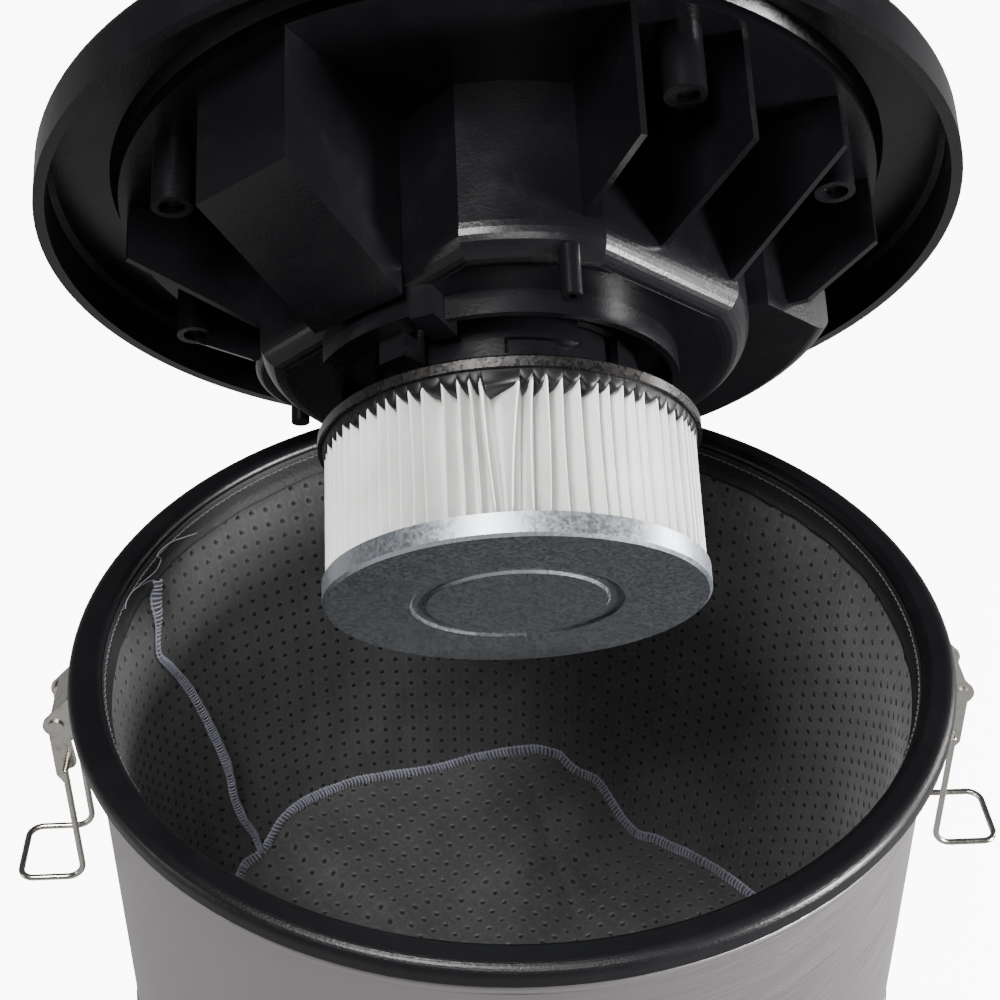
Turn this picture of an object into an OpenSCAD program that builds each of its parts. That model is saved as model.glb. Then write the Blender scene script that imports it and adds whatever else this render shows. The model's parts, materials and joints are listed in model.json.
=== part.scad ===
// Ash and workshop vacuum cleaner: a steel drum lined with a cloth pre-filter bag, and a
// hinged motor head that carries a pleated cartridge on a bayonet collar. Millimetres.
// Z is up and the front is -Y. The drum stands on Z = 0, centred on the Z axis, with its
// two toggle latches at -X and +X and the head's hinge at +Y. The head stands open and the
// latches hang down, as when the bag is looked at.
// Everything on the head is drawn closed, with Z = 0 at the lower edge of the lid's skirt,
// and in_lid() then seats it on the rim and swings it open.

/* [Drum] */
// Outer radius of the drum's wall
drum_r = 143.5; // [135:0.5:150]
// Thickness of the drum's sheet steel
drum_wall_t = 1; // [0.8:0.1:1.4]
// Height of the rim's top above the floor
rim_z = 300; // [290:1:330]
// Radius of the rolled edge round the drum's mouth
curl_r = 3.2; // [2.6:0.1:3.4]
// Height of the lower stiffening swage
swage_low_z = 52; // [40:1:70]
// Height of the upper stiffening swage
swage_high_z = 140; // [100:1:146]
// Height of the rubber ring that the drum stands in
base_ring_h = 14; // [12:1:18]

/* [Hose inlet] */
// Height of the inlet's axis
inlet_z = 188; // [170:1:195]
// Radius of the bore that takes the hose's end
inlet_bore_r = 18; // [16:0.5:19]
// Wall of the inlet's tube
inlet_wall = 3; // [2.5:0.5:4]
// How far the inlet stands out of the drum
inlet_reach = 34; // [26:1:40]
// Radius of the inlet's flange
inlet_flange_r = 33; // [30:0.5:36]

/* [Bag ring and bag] */
// How far the bag ring hangs over the rolled edge
ring_lip = 1.1; // [0.8:0.1:1.6]
// Thickness of the ring's inner leg
ring_leg_t = 3; // [2.5:0.1:3.4]
// Gap between the ring's leg and the drum's wall
ring_gap = 0.7; // [0.4:0.1:1]
// Depth of the ring's leg below the rim's top
ring_depth = 24; // [22:1:28]
// Thickness of the ring's cap above the rolled edge
ring_cap_t = 7; // [6:0.5:8]
// How far the bag's wall stands inside the drum's outer face
bag_gap = 9; // [8:0.5:13]
// Thickness of the bag's felt
bag_t = 1.6; // [1.2:0.1:2]
// Depth of the bag below the rim's top
bag_depth = 204; // [190:1:210]

/* [Head] */
// Radial gap between the bag ring and the lid's skirt
skirt_gap = 1.2; // [1:0.1:1.6]
// Thickness of the lid's skirt
skirt_t = 3.8; // [3.4:0.1:4.2]
// How far the closed skirt reaches below the rim's top
skirt_drop = 16; // [14:0.5:16]
// Thickness of the lid's brim
brim_t = 3; // [2.5:0.1:3.5]
// Wall thickness of the head's mouldings
mould_t = 2.5; // [2:0.1:3]
// Radius of the motor pot under the lid
pot_r = 81; // [79:0.5:82]
// Depth of the motor pot below the skirt's edge
pot_depth = 50; // [48:0.5:52]
// Height of the motor cover above the skirt's edge
cover_top = 108; // [104:1:116]
// How far the motor cover's upright wall stands inside the drum's outer face
cover_inset = 30.5; // [29:0.5:34]
// Angle that the head stands open
lid_open = 56.85; // [0:0.05:65]

/* [Hinge] */
// Radius of the hinge pin
hinge_pin_r = 2; // [1.8:0.1:2.4]
// Outer radius of the hinge's knuckles
knuckle_r = 4.5; // [4:0.1:4.8]
// Height of the pin's axis below the closed skirt's edge
hinge_drop = 6.4; // [6.2:0.1:7]

/* [Latches] */
// How far the lever's pivot stands out of the drum's wall
lever_out = 13.7; // [13.4:0.1:14.4]
// Depth of the lever's pivot below the rim's top
lever_drop = 28.5; // [28:0.1:30]
// Distance of the bail's pivot below the lever's
bail_below = 18.5; // [18:0.1:20]
// Radius of the bail's wire
wire_r = 1.15; // [1:0.05:1.3]
// Distance between the bail's two arms
bail_span = 26; // [25.5:0.5:30]
// How far the bail's hook reaches inwards over the brim
hook_reach = 23.5; // [22.5:0.1:24]
// Thickness of the latch's sheet steel
latch_t = 1.2; // [1:0.1:1.3]

/* [Filter cartridge] */
// Outer radius of the cartridge's bottom cap
cap_r = 61.5; // [58:0.5:64]
// Height of the cartridge
cartridge_h = 57; // [50:1:70]
// Height of the bottom cap's band
cap_band = 7.4; // [6:0.2:9]
// Number of pleats
pleats = 76; // [60:1:90]
// Gap between the inner support and the pleats' inner folds
pleat_gap = 0.8; // [0.6:0.1:3]
// Inner radius of the bayonet collar
collar_r = 40.6; // [40:0.1:42]
// Height of the bayonet collar
collar_h = 23; // [22.5:0.5:25]
// Wall of the bayonet collar
collar_t = 3; // [2.5:0.1:3.5]

/* [Motor] */
// Outer radius of the motor's fan case
fan_case_r = 60; // [56:0.5:62]
// Height of the fan case
fan_case_h = 34; // [30:1:38]
// Outer radius of the motor's frame
motor_frame_r = 44; // [42:0.5:46]
// Radius of the motor's shaft
shaft_r = 4; // [3.5:0.1:5]
// Number of slots in the armature
armature_slots = 12; // [8:1:16]

/* [Hidden] */
$fn = 96;
eps = 0.05;
wide = 400;
fit_gap = 0.3;       // between pieces that only stand beside each other
run_gap = 0.06;      // radial running clearance of pins and shafts
rivet_r = 1.6;
screw_r = 2;
head_gap = 0.05;

drum_in = drum_r - drum_wall_t;
bag_r = drum_r - bag_gap;
cover_r = drum_r - cover_inset;
curl_x = drum_in + curl_r;
ring_out = drum_in + 2 * curl_r + ring_lip;
ring_in = drum_in - ring_gap - ring_leg_t;
curl_top = rim_z - ring_cap_t - 0.1;
curl_z = curl_top - curl_r;
floor_z = 12;
foot_z = 5.1;        // the wall's lower edge, in the base ring's channel
swage_r = 2.6;

skirt_in = ring_out + skirt_gap;
skirt_out = skirt_in + skirt_t;
lid_seat_z = rim_z - skirt_drop;
ceiling_h = skirt_drop + 0.4;
brim_top = ceiling_h + brim_t;
brim_round = 5.5;
deck_h = 8;
deck_r = ring_in - 10.8;
rail_r = deck_r - fit_gap;
deck_eye = fan_case_r - 4;
rail_top = brim_top + 3.8;
cover_foot_r = deck_r + mould_t;

hinge_y = skirt_out - 1;
hinge_z = lid_seat_z - hinge_drop;
leaf_half = 28;
knuckle_split = 12;

lever_x = drum_r + lever_out;
lever_z = rim_z - lever_drop;
bail_x = lever_x - 1;
bail_z = lever_z - bail_below;
bail_bend = 6.5;
bail_corner = 5;
ear_in = 9.2;
lever_half = 8.2;
hook_z = rim_z + 0.4 + brim_t + wire_r + 0.15;
bail_up = hook_z - bail_z;

eye_r = 34;
spigot_out = collar_r - 0.6;
spigot_in = spigot_out - 3;
cartridge_top = -pot_depth - collar_h - 1.6;
cartridge_bottom = cartridge_top - cartridge_h;
lug_top = -pot_depth - 10.1;
lug_h = 4.5;
lug_play = 0.5;
lug_span = 20;
slot_start = -93;
slot_span = 55;
core_out = collar_r + 1.8;
pleat_r = cap_r - 1.3;
pleat_t = 3;
pleat_depth = pleat_r - pleat_t - core_out - pleat_gap;
groove_mid = 0.51 * cap_r;
groove_half = 2.2;
potting_top = cartridge_top - 2;

motor_low = -pot_depth + mould_t + 5;
fan_case_top = motor_low + fan_case_h;
frame_top = fan_case_top + 66;
bearing_r = 11;
bearing_h = 7;

boss_angles = [-24.6, 100, 160, 205, 296];
boss_at = deck_r - 13;

// ---------- shared shapes ----------

// A tube or washer standing on z = 0.
module tube(r_out, r_in, h)
    difference() {
        cylinder(r = r_out, h = h);
        translate([0, 0, -eps]) cylinder(r = r_in, h = h + 2 * eps);
    }

// Points of an arc of radius r about c, from angle a to angle b.
function arc(c, r, a, b, n = 8) =
    [for (i = [0:n]) c + r * [cos(a + (b - a) * i / n), sin(a + (b - a) * i / n)]];

// The part of a thin upright shell from r to r + t that lies within a plan box.
module shell_patch(r, t, x_half, z_low, z_high)
    translate([0, 0, z_low]) difference() {
        intersection() {
            cylinder(r = r + t, h = z_high - z_low);
            translate([0, -x_half, -eps]) cube([wide, 2 * x_half, z_high - z_low + 2 * eps]);
        }
        translate([0, 0, -eps]) cylinder(r = r, h = z_high - z_low + 2 * eps);
    }

// A rivet along +X through a wall whose faces are at r_in and r_out.
module rivet(r_in, r_out) {
    translate([r_in - 1, 0, 0]) rotate([0, 90, 0]) cylinder(r = rivet_r + 1, h = 1 - head_gap);
    translate([r_in - 1, 0, 0]) rotate([0, 90, 0]) cylinder(r = rivet_r, h = r_out - r_in + 2);
    translate([r_out + head_gap, 0, 0]) rotate([0, 90, 0]) cylinder(r1 = rivet_r + 1.6, r2 = rivet_r + 0.6, h = 1.2);
}

module rivet_hole(at_r)
    translate([at_r - 5, 0, 0]) rotate([0, 90, 0]) cylinder(r = rivet_r + head_gap, h = 12);

// Both sides of the drum: the children are drawn for +X.
module on_side(side) mirror([side < 0 ? 1 : 0, 0, 0]) children();

// Seats a piece of the head on the rim and swings it open about the hinge pin.
module in_lid()
    translate([0, hinge_y, hinge_z]) rotate([-lid_open, 0, 0])
        translate([0, -hinge_y, lid_seat_z - hinge_z]) children();

// ---------- drum ----------

module base_ring() color("#1a1a1c")
    rotate_extrude() polygon(concat(
        [[drum_r - 14, 0], [drum_r + 2.6, 0]],
        [[drum_r + 3.6, 1], [drum_r + 3.6, base_ring_h - 1], [drum_r + 2.6, base_ring_h]],
        [[drum_r + 1.2, base_ring_h], [drum_r + 1.2, 5], [drum_r - 4, 5], [drum_r - 4, 7.6],
         [drum_r - 6.5, 7.6], [drum_r - 14, 3]]));

module rivet_holes_in_drum() {
    for (side = [-1, 1]) on_side(side) for (z = latch_rivet_z()) translate([0, 0, z]) rivet_hole(drum_r);
    at_hinge_rivets() rivet_hole(drum_r);
}

module drum_wall() color("#8d858a") {
    difference() {
        rotate_extrude() difference() {
            union() {
                translate([drum_in, foot_z]) square([drum_wall_t, curl_z - foot_z]);
                translate([curl_x, curl_z]) circle(curl_r, $fn = 48);
                for (z = [swage_low_z, swage_high_z])
                    translate([drum_in, z]) intersection() {
                        circle(swage_r, $fn = 48);
                        translate([0, -swage_r]) square(2 * swage_r);
                    }
            }
            translate([curl_x, curl_z]) circle(curl_r - drum_wall_t, $fn = 48);
            for (z = [swage_low_z, swage_high_z])
                translate([drum_in, z]) circle(swage_r - drum_wall_t, $fn = 48);
        }
        translate([0, 0, inlet_z]) rotate([90, 0, 0]) cylinder(r = inlet_bore_r + inlet_wall + 0.2, h = wide);
        rivet_holes_in_drum();
    }
}

module drum_floor() color("#8d858a")
    rotate_extrude() polygon([[0, floor_z - drum_wall_t], [drum_in - 5, floor_z - drum_wall_t],
        [drum_in - 1.2, foot_z], [drum_in - 0.1, foot_z], [drum_in - 0.1, foot_z + 1.5], [drum_in - 1.0, foot_z + 1.5],
        [drum_in - 4.4, floor_z], [0, floor_z]]);

module bag_ring() color("#17181b") {
    cap_low = rim_z - ring_cap_t;
    leg_out = ring_in + ring_leg_t;
    rotate_extrude() polygon(concat(
        [[ring_out, cap_low], [ring_out, rim_z - 4]],
        arc([ring_out - 4, rim_z - 4], 4, 10, 90),
        arc([ring_in + 3, rim_z - 3], 3, 90, 170),
        [[ring_in, rim_z - ring_depth], [leg_out, rim_z - ring_depth], [leg_out, cap_low]]));
}

// The bag's cut section: a hem inside the ring's leg, a taper, an upright wall and a round bottom edge.
function bag_line(d) =
    let (bottom = rim_z - bag_depth, round_r = 22)
    concat([[ring_in - 0.1 - d, rim_z - 16.5], [ring_in - 0.1 - d, rim_z - 27],
            [bag_r - d, rim_z - 40]],
           arc([bag_r - round_r, bottom + round_r], round_r - d, 0, -90, 10));

module filter_bag() color("#45464a")
    rotate_extrude() {
        outer = bag_line(0);
        inner = bag_line(bag_t);
        bottom = rim_z - bag_depth;
        polygon(concat(outer, [[0, bottom], [0, bottom + bag_t]], [for (i = [len(inner) - 1:-1:0]) inner[i]]));
    }

// ---------- hose inlet ----------

module at_inlet() translate([0, 0, inlet_z]) rotate([90, 0, 0]) children();

module inlet_socket() color("#1c1d20") {
    tube_r = inlet_bore_r + inlet_wall;
    mouth = drum_r + inlet_reach;
    tail = drum_in - 4.3;
    gasket_r = drum_r + 1.5;
    difference() {
        union() {
            at_inlet() translate([0, 0, tail]) cylinder(r = tube_r, h = mouth - tail);
            at_inlet() translate([0, 0, mouth - 5]) cylinder(r = tube_r + 2, h = 5);
            difference() {
                at_inlet() translate([0, 0, gasket_r - 8]) cylinder(r = inlet_flange_r, h = 12);
                translate([0, 0, inlet_z - inlet_flange_r - 1]) cylinder(r = gasket_r + 0.05, h = 2 * inlet_flange_r + 2);
            }
        }
        at_inlet() translate([0, 0, tail - 1]) cylinder(r = inlet_bore_r, h = mouth - tail + 2);
    }
}

module inlet_gasket() color("#222222")
    difference() {
        intersection() {
            at_inlet() translate([0, 0, drum_in - 12]) cylinder(r = inlet_flange_r - 1, h = 20);
            translate([0, 0, inlet_z - inlet_flange_r]) cylinder(r = drum_r + 1.5, h = 2 * inlet_flange_r);
        }
        translate([0, 0, inlet_z - inlet_flange_r - 1]) cylinder(r = drum_r, h = 2 * inlet_flange_r + 2);
        at_inlet() translate([0, 0, drum_in - 20]) cylinder(r = inlet_bore_r + inlet_wall + 0.1, h = 40);
    }

module inlet_lock_ring() color("#1c1d20")
    intersection() {
        at_inlet() translate([0, 0, drum_in - 4.3])
            tube(inlet_bore_r + inlet_wall + 6, inlet_bore_r + inlet_wall + 0.1, 8);
        translate([0, 0, inlet_z - 40]) cylinder(r = drum_in - 0.05, h = 80, $fn = 360);
    }

// ---------- toggle latches ----------

function latch_rivet_z() = [rim_z - 53, rim_z - 65];

module ear_outline() {
    translate([lever_x, lever_z]) circle(4.6, $fn = 48);
    polygon([[drum_r + 0.4, lever_z - 15.5], [drum_r + 0.4, lever_z + 11.0],
             [drum_r + 8.5, lever_z + 11.9], [lever_x + 1, lever_z + 5.6],
             [lever_x + 3.5, lever_z + 2.9], [lever_x + 1, lever_z - 4.4], [lever_x - 3, lever_z - 3.5]]);
}

module latch_plate() {
    hood_from = [drum_r + 8.5, lever_z + 11.9];
    hood_to = [lever_x + 1, lever_z + 5.6];
    difference() {
        union() {
            shell_patch(drum_r + 0.05, latch_t, 14, rim_z - 71, rim_z - 15.6);
            for (y = [-ear_in - latch_t, ear_in])
                translate([0, y + latch_t, 0]) rotate([90, 0, 0]) linear_extrude(latch_t) ear_outline();
            translate([0, ear_in + latch_t, 0]) rotate([90, 0, 0]) linear_extrude(2 * (ear_in + latch_t))
                polygon([hood_from, hood_to, hood_to - [0.9, 0.9], hood_from - [0.9, 0.9]]);
        }
        translate([lever_x, 50, lever_z]) rotate([90, 0, 0]) cylinder(r = lever_pin_r(), h = 100);
        for (z = latch_rivet_z()) translate([0, 0, z]) rivet_hole(drum_r);
        translate([0, 0, rim_z - 80]) cylinder(r = drum_r + 0.05, h = 80);
    }
}

function lever_pin_r() = 1.8;

module latch_plate_left() color("#b9b6b0") on_side(-1) latch_plate();
module latch_plate_right() color("#b9b6b0") on_side(1) latch_plate();

module latch_rivets() color("#c4c2bd")
    for (side = [-1, 1]) on_side(side) for (z = latch_rivet_z())
        translate([0, 0, z]) rivet(drum_in, drum_r + 0.05 + latch_t);

module lever_pins() color("#c4c2bd")
    for (side = [-1, 1]) on_side(side) translate([lever_x, 0, lever_z]) rotate([90, 0, 0]) {
        half = ear_in + latch_t;
        translate([0, 0, -half]) cylinder(r = lever_pin_r(), h = 2 * half);
        for (end = [-1, 1]) translate([0, 0, end > 0 ? half : -half - 0.9]) cylinder(r = 2.8, h = 0.9);
    }

// A folded lever: a web with a pointed tail, and two flanges with the pivot and bail holes.
module latch_lever() {
    web_x = lever_x + 2.4;
    tail_z = lever_z - 24.5;
    tip_z = lever_z - 35;
    difference() {
        union() {
            for (y = [-lever_half, lever_half - latch_t])
                translate([0, y + latch_t, 0]) rotate([90, 0, 0]) linear_extrude(latch_t) {
                    translate([lever_x, lever_z]) circle(3.6, $fn = 48);
                    translate([bail_x, bail_z]) circle(3.2, $fn = 48);
                    polygon([[lever_x - 3, lever_z - 2], [lever_x + 3.6, lever_z - 1.2],
                             [web_x + latch_t, tail_z], [bail_x, bail_z - 3.2], [bail_x - 3.2, bail_z]]);
                }
            translate([web_x, 0, 0]) rotate([90, 0, 90]) linear_extrude(latch_t)
                polygon([[-lever_half, lever_z - 2.5], [-lever_half, tail_z], [-1, tip_z], [1, tip_z],
                         [lever_half, tail_z], [lever_half, lever_z - 2.5]]);
        }
        translate([lever_x, 50, lever_z]) rotate([90, 0, 0]) cylinder(r = lever_pin_r() + run_gap, h = 100);
        translate([bail_x, 50, bail_z]) rotate([90, 0, 0]) cylinder(r = wire_r + run_gap, h = 100);
    }
}

module lever_left() color("#b9b6b0") on_side(-1) latch_lever();
module lever_right() color("#b9b6b0") on_side(1) latch_lever();

// One bend of the bail's wire: a quarter ring about c in the plane of the children's XY.
module wire_bend(bend, sweep)
    rotate_extrude(angle = sweep) translate([bend, 0]) circle(wire_r, $fn = 32);

// The hanging bail: pivot ends, two arms, a bend outwards, two legs and the crossbar.
module latch_bail() {
    half = bail_span / 2;
    drop = bail_up - bail_bend;
    leg_end = hook_reach - bail_corner;
    translate([bail_x, 0, bail_z]) {
        for (side = [-1, 1]) translate([0, side * half, 0]) {
            sphere(wire_r, $fn = 32);
            rotate([90 * side, 0, 0]) cylinder(r = wire_r, h = half - lever_half + 2 * latch_t, $fn = 32);
            translate([0, 0, -drop]) cylinder(r = wire_r, h = drop, $fn = 32);
            translate([bail_bend, 0, -drop]) rotate([90, 0, 0]) rotate([0, 0, 180]) wire_bend(bail_bend, 90);
            translate([bail_bend, 0, -bail_up]) rotate([0, 90, 0])
                cylinder(r = wire_r, h = leg_end - bail_bend, $fn = 32);
            translate([leg_end, -side * bail_corner, -bail_up]) rotate([0, 0, side > 0 ? 0 : -90])
                wire_bend(bail_corner, 90);
        }
        translate([hook_reach, half - bail_corner, -bail_up]) rotate([90, 0, 0])
            cylinder(r = wire_r, h = bail_span - 2 * bail_corner, $fn = 32);
    }
}

module bail_left() color("#c9c6bf") on_side(-1) latch_bail();
module bail_right() color("#c9c6bf") on_side(1) latch_bail();

// ---------- hinge ----------

module at_hinge_rivets()
    for (side = [-1, 1]) for (z = [rim_z - 38, rim_z - 52])
        translate([0, 0, z]) rotate([0, 0, 90 + side * 8.5]) children();

module hinge_bracket() color("#8f8d8a")
    difference() {
        union() {
            rotate([0, 0, 90]) shell_patch(drum_r + 0.05, 1.4, 30, rim_z - 60, rim_z - 15.6);
            translate([-knuckle_split + 0.2, 0, 0]) rotate([90, 0, 90]) linear_extrude(2 * knuckle_split - 0.4) {
                translate([hinge_y, hinge_z]) circle(knuckle_r, $fn = 48);
                polygon([[drum_r, hinge_z - knuckle_r], [hinge_y, hinge_z - knuckle_r],
                         [hinge_y, hinge_z + 2], [drum_r, hinge_z + 3]]);
            }
        }
        translate([-60, hinge_y, hinge_z]) rotate([0, 90, 0]) cylinder(r = hinge_pin_r + 0.02, h = 120);
        translate([0, 0, rim_z - 80]) cylinder(r = drum_r + 0.05, h = 80);
        at_hinge_rivets() rivet_hole(drum_r);
    }

module hinge_rivets() color("#c4c2bd") at_hinge_rivets() rivet(drum_in, drum_r + 0.05 + 1.4);

module hinge_pin() color("#c4c2bd")
    translate([0, hinge_y, hinge_z]) rotate([0, 90, 0]) {
        translate([0, 0, -leaf_half]) cylinder(r = hinge_pin_r, h = 2 * leaf_half);
        for (z = [-leaf_half - 1.2, leaf_half]) translate([0, 0, z]) cylinder(r = hinge_pin_r + 1, h = 1.2);
    }

leaf_face_y = skirt_out + 2.6;

module hinge_leaf() color("#8f8d8a") in_lid()
    difference() {
        union() {
            translate([-leaf_half, hinge_y - 6, 1]) cube([2 * leaf_half, leaf_face_y - hinge_y + 6, 13]);
            for (side = [-1, 1])
                translate([side > 0 ? knuckle_split : -leaf_half + fit_gap, 0, 0]) rotate([90, 0, 90])
                    linear_extrude(leaf_half - knuckle_split - fit_gap) {
                        translate([hinge_y, -hinge_drop]) circle(knuckle_r, $fn = 48);
                        polygon([[hinge_y + 1, -hinge_drop], [hinge_y + knuckle_r - 0.6, -hinge_drop],
                                 [leaf_face_y, 2], [hinge_y + 1, 2]]);
                    }
        }
        translate([-60, hinge_y, -hinge_drop]) rotate([0, 90, 0]) cylinder(r = hinge_pin_r + run_gap, h = 120);
        cylinder(r = skirt_out + 0.02, h = 40);
        at_hinge_screws() cylinder(r = screw_r + head_gap, h = 30);
    }

module at_hinge_screws()
    for (x = [-19, 19]) translate([x, leaf_face_y + 5, 7.5]) rotate([90, 0, 0]) children();

module hinge_screws() color("#c4c2bd") in_lid() at_hinge_screws() {
    translate([0, 0, 3.2]) cylinder(r = 3.6, h = 1.8 - head_gap);
    translate([0, 0, 4]) cylinder(r = screw_r, h = 7.5);
}

// ---------- lid base: one moulding with the skirt, deck, motor pot and its ribs ----------

module brim_and_deck()
    rotate_extrude() polygon(concat(
        [[skirt_in, 0], [skirt_out, 0], [skirt_out, brim_top - brim_round]],
        arc([skirt_out - brim_round, brim_top - brim_round], brim_round, 8, 90),
        [[rail_r, brim_top], [rail_r, rail_top], [rail_r - mould_t, rail_top],
         [rail_r - mould_t, deck_h + mould_t], [deck_eye, deck_h + mould_t], [deck_eye, deck_h],
         [deck_r, deck_h], [deck_r, deck_h + 5], [deck_r + 3, ceiling_h], [skirt_in - 2, ceiling_h],
         [skirt_in, ceiling_h - 2]]));

pot_round = 10;
facet_round = 8.8;
facet_edge = 75;      // where the rounding meets the flat bottom, short of a quarter turn
right_facet = [-47.5, pot_r - 6.3];                    // direction and distance from the pot's axis
left_facet = [221, fan_case_r + mould_t + 1.5];

// All that lies behind a flat facet whose lower edge is rounded.
module behind_facet(facet, inset) {
    round_r = facet_round - inset;
    corner = [facet[1] - inset - round_r, -pot_depth + facet_round];
    rotate([0, 0, facet[0]]) rotate([90, 0, 0]) translate([0, 0, -wide / 2]) linear_extrude(wide)
        polygon(concat([[-wide, -wide / 2], [corner[0] + round_r * cos(facet_edge), -wide / 2]],
            arc(corner, round_r, -facet_edge, 0), [[corner[0] + round_r, wide / 2], [-wide, wide / 2]]));
}

// The pot, with flat facets towards the front right and the front left. inset 0 is the outside.
module pot_form(inset)
    intersection() {
        low = -pot_depth + inset;
        round_r = pot_round - inset;
        rotate_extrude() polygon(concat([[0, low]],
            arc([pot_r - inset - round_r, low + round_r], round_r, -90, 0),
            [[pot_r - inset, deck_h + (inset > 0 ? 10 : 1)], [0, deck_h + (inset > 0 ? 10 : 1)]]));
        behind_facet(right_facet, inset);
        behind_facet(left_facet, inset);
    }

tier_r = 112;
tier_depth = 35;

// The shallow tier behind and to the right of the pot, where the exhaust turns upwards.
module tier_form(inset)
    intersection() {
        low = -tier_depth + inset;
        round_r = 6 - inset;
        rotate_extrude() polygon(concat([[0, low]],
            arc([tier_r - inset - round_r, low + round_r], round_r, -90, 0),
            [[tier_r - inset, deck_h + (inset > 0 ? 10 : 1)], [0, deck_h + (inset > 0 ? 10 : 1)]]));
        translate([0, 0, -wide / 2]) linear_extrude(wide) polygon([
            [40, -13 + inset], [87 - 0.385 * inset, -13 + inset], [114 - 0.67 * inset, 11.5 + 0.74 * inset],
            [130, 60], [60, 130], [12 + inset, 130], [12 + inset, 40]]);
    }

side_boss = [-47, 44];
side_boss_r = 40;
side_boss_depth = 30;

module side_boss_form(inset)
    translate([side_boss[0], side_boss[1], 0])
        rotate_extrude() polygon(concat([[0, -side_boss_depth + inset]],
            arc([side_boss_r - 4, -side_boss_depth + 4], 4 - inset, -90, 0),
            [[side_boss_r - inset, deck_h + (inset > 0 ? 10 : 1)], [0, deck_h + (inset > 0 ? 10 : 1)]]));

// Plan corners of the duct: its low end beside the guide ring, then its high end at the deck's edge.
duct_low = [[-60.7, -36], [-33, -60.4]];
duct_run = [-31, -50];
duct_slope = 16.5;
duct_depth = pot_depth + 3;

// Moves the corners of a parallelogram inwards along its sides.
function duct_corners(inset) =
    let (across = (duct_low[1] - duct_low[0]) / norm(duct_low[1] - duct_low[0]), along = duct_run / norm(duct_run))
    [for (k = [[0, 1, 1], [1, 1, -1], [1, -1, -1], [0, -1, 1]])
        duct_low[k[1] > 0 ? 0 : 1] + k[0] * duct_run + inset * (k[1] * across + k[2] * along)];

// The square cooling duct that slopes down from the deck's front left, over the pot's lower edge.
module duct_form(inset) {
    across = duct_low[1] - duct_low[0];
    middle = (duct_low[0] + duct_low[1]) / 2;
    intersection() {
        translate([0, 0, -duct_depth - 20]) linear_extrude(duct_depth + 20 + deck_h + (inset > 0 ? 10 : 1))
            polygon(duct_corners(inset));
        translate([middle[0], middle[1], -duct_depth]) rotate([0, 0, atan2(across[1], across[0])])
            rotate([-duct_slope, 0, 0]) translate([-wide / 2, -wide / 2, inset]) cube([wide, wide, wide]);
    }
}

// A rib from plan point a towards plan point b, whose lower edge runs flat and then slopes up.
module rib(a, b, flat, low, low_end, t = 2)
    translate([a[0], a[1], 0]) rotate([0, 0, atan2(b[1] - a[1], b[0] - a[0])])
        translate([0, t / 2, 0]) rotate([90, 0, 0]) linear_extrude(t)
            polygon([[-6, deck_h + 1], [-6, low], [flat, low], [norm(b - a), low_end], [norm(b - a), deck_h + 1]]);

module pot_ribs() {
    rib([22.5, -80], [35.5, -118], 0, -38, -36);
    rib([47.7, -59.4], [69.5, -103.5], 0, -38, -29);
    rib([72.6, -36.6], [104.5, -68.5], 0, -38, -10);
    rib([99, -6], [124, -19], 3, -31, -16, 2.5);
    rib([-76, 9], [-124, -13], 8, -28, -12, 2.5);
    rib([-80, 28], [-112, 46], 8, -28, -12, 2.5);
    rib([-62, 104], [-66, 84], 4, -8, -28, 2.5);
}

module screw_bosses(r, low, high)
    for (a = boss_angles) rotate([0, 0, a]) translate([boss_at, 0, low]) cylinder(r = r, h = high - low);

keeper_x = skirt_out - 16;
guide_r = 57;
peg_at = [16.5, -75];

// The curved stop beside the duct's low end, its end wall, and a small stop inside the guide ring.
module guide_stops() {
    rotate([0, 0, 204]) translate([0, 0, -pot_depth - 8.4]) rotate_extrude(angle = 38)
        translate([guide_r - 1, 0]) square([8.6, 12.4]);
    rotate([0, 0, 245]) translate([guide_r - 9, -4, -pot_depth - 9.6]) cube([17, 8, 11.6]);
    rotate([0, 0, 229]) translate([guide_r - 10.5, -5, -pot_depth - 16]) cube([10, 10, 18]);
}

module lid_base() color("#1b1c1f") in_lid()
    difference() {
        union() {
            difference() {
                union() {
                    brim_and_deck();
                    pot_form(0);
                    tier_form(0);
                    side_boss_form(0);
                    duct_form(0);
                    screw_bosses(6.5, -14, deck_h + 1);
                }
                pot_form(mould_t);
                tier_form(mould_t);
                side_boss_form(mould_t);
                duct_form(mould_t);
            }
            difference() {
                pot_ribs();
                pot_form(mould_t - 0.5);
                tier_form(mould_t - 0.5);
                side_boss_form(mould_t - 0.5);
            }
            translate([0, 0, -pot_depth - 8]) tube(guide_r, guide_r - 2.5, 10);
            guide_stops();
            translate([0, 0, -pot_depth - 20]) tube(spigot_out, spigot_in, 20 + eps);
            for (k = [0:2]) rotate([0, 0, slot_start + 1.5 + 120 * k]) translate([0, 0, lug_top - lug_h])
                rotate_extrude(angle = lug_span) translate([spigot_in + 0.5, 0]) square([5.1, lug_h]);
            translate([peg_at[0], peg_at[1], -pot_depth - 13]) cylinder(r = 3.3, h = 16.5);
            translate([-72, 55, -42]) cylinder(r = 3.3, h = 14);
            for (side = [-1, 1]) translate([side * keeper_x - 1.5, -8, brim_top - eps]) cube([3, 16, 1.4]);
        }
        translate([0, 0, -pot_depth - 1]) cylinder(r = eye_r, h = mould_t + 2);
        translate([peg_at[0], peg_at[1], -pot_depth - 14]) cylinder(r = 1.5, h = 11);
        screw_bosses(screw_r + head_gap, -20, 30);
        screw_bosses(4.2, -20, -9);
        at_hinge_screws() cylinder(r = screw_r + head_gap, h = 11.6);
    }

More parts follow.
